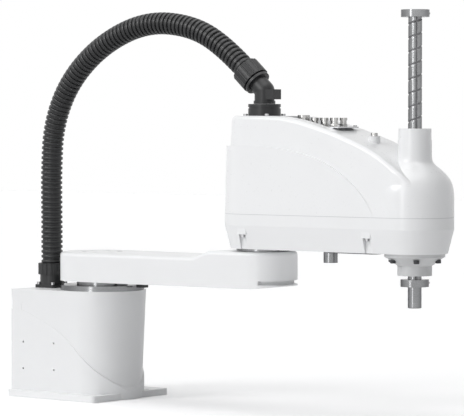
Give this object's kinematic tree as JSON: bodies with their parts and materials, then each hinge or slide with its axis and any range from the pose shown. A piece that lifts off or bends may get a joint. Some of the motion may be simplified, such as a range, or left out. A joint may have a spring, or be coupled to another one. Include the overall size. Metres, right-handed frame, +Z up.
{
  "type": "scara robot",
  "caption": "SCARA robot arm with a bolt-down base, horizontally jointed inner and outer arms, a vertical tool shaft that lifts and turns, and an overhead cable hose.",
  "frame": {"origin": "on the mounting face under the base, where the shoulder axis meets it", "axes": "+Z up from the mounting face, +X along both arms towards the tool shaft, +Y to the left of someone at the base looking along +X"},
  "size_m": [0.7937, 0.178, 0.6018],
  "materials": {
    "white_casting": "white powder coat on cast aluminium",
    "white_cover": "satin white moulded plastic",
    "ground_steel": "ground bright steel",
    "screw_steel": "zinc plated steel",
    "bare_aluminium": "machined aluminium",
    "motor_black": "black painted",
    "black_polymer": "matt black moulded plastic",
    "hose_polymer": "matt black corrugated conduit",
    "belt_rubber": "toothed rubber belt",
    "nickel_fittings": "nickel plated"
  },
  "bodies": {
    "base": {"base_casting": "white_casting", "base_rear_panel": "bare_aluminium", "base_panel_screws": "screw_steel", "power_connector": "black_polymer", "signal_connector": "black_polymer", "base_air_fittings": "nickel_fittings", "shoulder_motor": "motor_black", "shoulder_reducer_ring": "ground_steel", "shoulder_ring_screws": "screw_steel", "hose_foot_gland": "black_polymer", "hose_foot_screws": "screw_steel", "hose_foot_nut": "black_polymer"},
    "inner_arm": {"shoulder_output_hub": "ground_steel", "inner_arm_casting": "white_casting", "inner_arm_screws": "screw_steel", "inner_arm_cover": "bare_aluminium", "shoulder_stop_block": "black_polymer", "elbow_reducer_ring": "ground_steel", "cable_hose": "hose_polymer"},
    "outer_arm": {"elbow_output_hub": "ground_steel", "outer_arm_casting": "white_casting", "outer_arm_cover": "white_cover", "cover_screws": "screw_steel", "neck_cap": "white_cover", "spindle_housing": "white_casting", "spline_bearing_lower": "ground_steel", "spline_bearing_upper": "ground_steel", "elbow_motor": "motor_black", "turn_motor": "motor_black", "turn_motor_bridge": "bare_aluminium", "lift_motor": "motor_black", "lift_motor_bridge": "bare_aluminium", "screw_nut_bridge": "bare_aluminium", "turn_belt": "belt_rubber", "lift_belt": "belt_rubber", "elbow_gland": "black_polymer", "deck_plate": "bare_aluminium", "deck_air_fittings": "nickel_fittings", "deck_connector": "nickel_fittings", "elbow_stop_pin": "ground_steel", "belly_plate": "bare_aluminium"},
    "hose_swivel": {"hose_elbow": "black_polymer", "hose_elbow_nut": "black_polymer"},
    "release_button": {"brake_button": "nickel_fittings"},
    "turn_pulley": {"turn_motor_pulley": "bare_aluminium"},
    "lift_pulley": {"lift_motor_pulley": "bare_aluminium"},
    "turning_nut": {"spline_nut": "ground_steel", "spline_nut_pulley": "bare_aluminium"},
    "lifting_nut": {"screw_nut": "ground_steel", "screw_nut_pulley": "bare_aluminium"},
    "tool_spindle": {"tool_shaft": "ground_steel", "shaft_upper_collar": "ground_steel", "shaft_lower_collar": "ground_steel"}
  },
  "joints": [
    {"name": "shoulder_turn", "type": "hinge", "parent": "base", "child": "inner_arm", "pos_m": [0, 0, 0.18], "axis": [0, 0, 1], "range_deg": [-110, 110]},
    {"name": "elbow_turn", "type": "hinge", "parent": "inner_arm", "child": "outer_arm", "pos_m": [0.325, 0, 0.24], "axis": [0, 0, 1], "range_deg": [-145, 145]},
    {"name": "tool_turn", "type": "hinge", "parent": "outer_arm", "child": "turning_nut", "pos_m": [0.6, 0, 0.25], "axis": [0, 0, 1], "range_deg": [-360, 360]},
    {"name": "tool_lift", "type": "slide", "parent": "turning_nut", "child": "tool_spindle", "axis": [0, 0, 1], "range_m": [-0.15, 0.003]},
    {"name": "lift_nut_turn", "type": "hinge", "parent": "turning_nut", "child": "lifting_nut", "pos_m": [0.6, 0, 0.3], "axis": [0, 0, 1], "range_deg": [-2710, 60]},
    {"name": "lift_pulley_turn", "type": "hinge", "parent": "outer_arm", "child": "lift_pulley", "pos_m": [0.5, 0, 0.3], "axis": [0, 0, 1], "range_deg": [-5580, 120]},
    {"name": "turn_pulley_turn", "type": "hinge", "parent": "outer_arm", "child": "turn_pulley", "pos_m": [0.402, 0, 0.26], "axis": [0, 0, 1], "range_deg": [-750, 750]},
    {"name": "hose_swivel_turn", "type": "hinge", "parent": "outer_arm", "child": "hose_swivel", "pos_m": [0.325, 0, 0.46], "axis": [0, 0, 1], "range_deg": [-145, 145]},
    {"name": "release_press", "type": "slide", "parent": "outer_arm", "child": "release_button", "axis": [0, 0, -1], "range_m": [0, 0.002], "stiffness_N_per_m": 400, "springref_m": -0.002}
  ],
  "couplings": [
    {"joint": "lift_nut_turn", "follows": "tool_lift", "rad_per_m": 314.16},
    {"joint": "lift_pulley_turn", "follows": "tool_lift", "rad_per_m": 628.32},
    {"joint": "turn_pulley_turn", "follows": "tool_turn", "ratio": 2},
    {"joint": "hose_swivel_turn", "follows": "elbow_turn", "ratio": -1}
  ]
}
